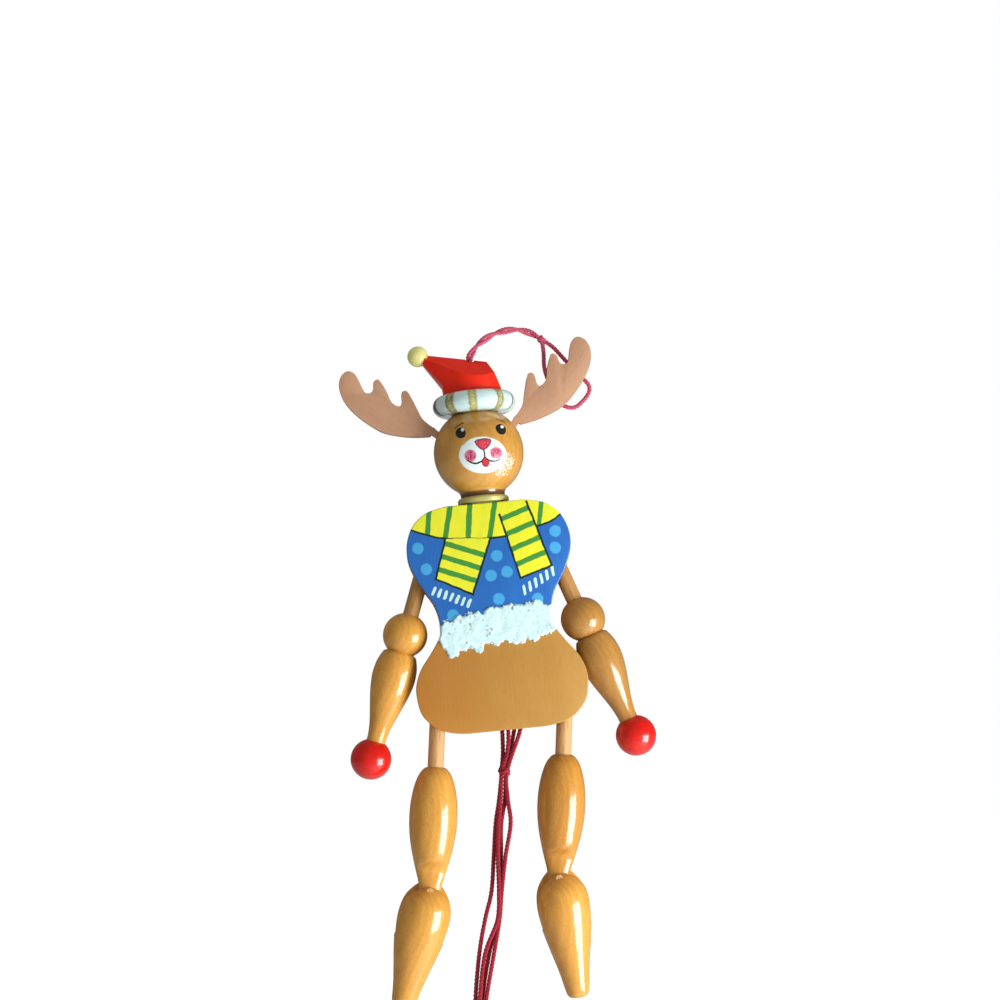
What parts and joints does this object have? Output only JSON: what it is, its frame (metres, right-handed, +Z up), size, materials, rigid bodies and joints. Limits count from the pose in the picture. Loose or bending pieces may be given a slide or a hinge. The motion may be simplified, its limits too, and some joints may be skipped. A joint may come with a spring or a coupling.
{
  "type": "pull string jumping jack",
  "caption": "Wooden reindeer jumping jack with turned limbs and a hat, whose arms and legs swing out when the string below is pulled.",
  "frame": {"origin": "on the centreline, where the hanging cord leaves the ridge of the hat", "axes": "+Z up along the body, the face looks along -Y, +X to the right of the picture"},
  "size_m": [0.0919, 0.0272, 0.222],
  "materials": {
    "painted_body": "plywood painted with a yellow scarf with green stripes, a blue sweater with light dots and a white fur band over a clear-lacquered wood skirt",
    "plain_plywood": "bare plywood under thin clear lacquer",
    "plain_wood": "bare softwood",
    "dowel_wood": "bare beech dowel, dull",
    "gold_paint": "wood with satin gold-olive paint",
    "painted_head": "turned wood under glossy amber lacquer with a painted face",
    "antler_plywood": "thin plywood, light brown, satin",
    "brim_paint": "white gloss paint with gold stripes and dark ends",
    "red_lacquer": "turned wood with glossy red lacquer",
    "lacquered_wood": "turned wood under glossy amber lacquer",
    "hanging_cord": "dark pink cotton twine",
    "red_string": "dark red cotton twine"
  },
  "bodies": {
    "body": {"front_panel": "painted_body", "back_panel": "plain_plywood", "neck_block": "plain_wood", "waist_posts": "dowel_wood", "shoulder_pins": "dowel_wood", "hip_pins": "dowel_wood", "neck_peg": "dowel_wood", "neck_ring": "gold_paint", "head": "painted_head", "antler_left": "antler_plywood", "antler_right": "antler_plywood", "hat_brim": "brim_paint", "hat_peg": "dowel_wood", "hat_cap": "red_lacquer", "pompom": "gold_paint", "hanging_cord": "hanging_cord", "loop_knot": "hanging_cord", "hanging_loop": "hanging_cord"},
    "arm_left": {"arm_dowel_left": "dowel_wood", "forearm_left": "lacquered_wood", "hand_left": "red_lacquer"},
    "arm_right": {"arm_dowel_right": "dowel_wood", "forearm_right": "lacquered_wood", "hand_right": "red_lacquer"},
    "leg_left": {"leg_dowel_left": "dowel_wood", "thigh_left": "lacquered_wood"},
    "leg_right": {"leg_dowel_right": "dowel_wood", "thigh_right": "lacquered_wood"},
    "lower_leg_left": {"shin_left": "lacquered_wood", "knee_pin_left": "dowel_wood"},
    "lower_leg_right": {"shin_right": "lacquered_wood", "knee_pin_right": "dowel_wood"},
    "arm_cord_left": {"arm_string_left": "red_string"},
    "arm_cord_right": {"arm_string_right": "red_string"},
    "leg_cord_left": {"leg_string_left": "red_string"},
    "leg_cord_right": {"leg_string_right": "red_string"},
    "pull_string": {"arm_tie": "red_string", "leg_tie": "red_string", "gather_knot": "red_string", "end_knot": "red_string", "pull_strand_a": "red_string", "pull_strand_b": "red_string", "pull_strand_c": "red_string", "pull_strand_d": "red_string"}
  },
  "joints": [
    {"name": "pull", "type": "slide", "parent": "body", "child": "pull_string", "axis": [0, 0, -1], "range_m": [0, 0.01101]},
    {"name": "shoulder_left", "type": "hinge", "parent": "body", "child": "arm_left", "pos_m": [-0.0175, 0, -0.0557], "axis": [0, 1, 0], "range_deg": [0, 79.3]},
    {"name": "shoulder_right", "type": "hinge", "parent": "body", "child": "arm_right", "pos_m": [0.0175, 0, -0.0557], "axis": [0, -1, 0], "range_deg": [0, 81.3]},
    {"name": "hip_left", "type": "hinge", "parent": "body", "child": "leg_left", "pos_m": [-0.0192, 0, -0.1017], "axis": [0, 1, 0], "range_deg": [0, 60]},
    {"name": "hip_right", "type": "hinge", "parent": "body", "child": "leg_right", "pos_m": [0.0192, 0, -0.1017], "axis": [0, -1, 0], "range_deg": [0, 76.1]},
    {"name": "arm_string_turn_left", "type": "hinge", "parent": "arm_left", "child": "arm_cord_left", "pos_m": [-0.01484, 0, -0.04869], "axis": [0, -1, 0], "range_deg": [0, 68.1]},
    {"name": "arm_string_turn_right", "type": "hinge", "parent": "arm_right", "child": "arm_cord_right", "pos_m": [0.01508, 0, -0.0486], "axis": [0, 1, 0], "range_deg": [0, 70]},
    {"name": "leg_string_turn_left", "type": "hinge", "parent": "leg_left", "child": "leg_cord_left", "pos_m": [-0.01816, 0, -0.09427], "axis": [0, -1, 0], "range_deg": [0, 40.2]},
    {"name": "leg_string_turn_right", "type": "hinge", "parent": "leg_right", "child": "leg_cord_right", "pos_m": [0.02024, 0, -0.09427], "axis": [0, 1, 0], "range_deg": [0, 46.6]},
    {"name": "knee_left", "type": "hinge", "parent": "leg_left", "child": "lower_leg_left", "pos_m": [-0.02706, 0, -0.15765], "axis": [0, 1, 0], "range_deg": [-25, 60]},
    {"name": "knee_right", "type": "hinge", "parent": "leg_right", "child": "lower_leg_right", "pos_m": [0.01134, 0, -0.15765], "axis": [0, -1, 0], "range_deg": [-28, 60]}
  ],
  "couplings": [
    {"joint": "pull", "follows": "hip_left", "m_per_rad": 0.010504},
    {"joint": "shoulder_left", "follows": "hip_left", "ratio": 1.32},
    {"joint": "shoulder_right", "follows": "hip_left", "ratio": 1.3533},
    {"joint": "hip_right", "follows": "hip_left", "ratio": 1.2667},
    {"joint": "arm_string_turn_left", "follows": "hip_left", "ratio": 1.1333},
    {"joint": "arm_string_turn_right", "follows": "hip_left", "ratio": 1.165},
    {"joint": "leg_string_turn_left", "follows": "hip_left", "ratio": 0.66833},
    {"joint": "leg_string_turn_right", "follows": "hip_left", "ratio": 0.775}
  ]
}
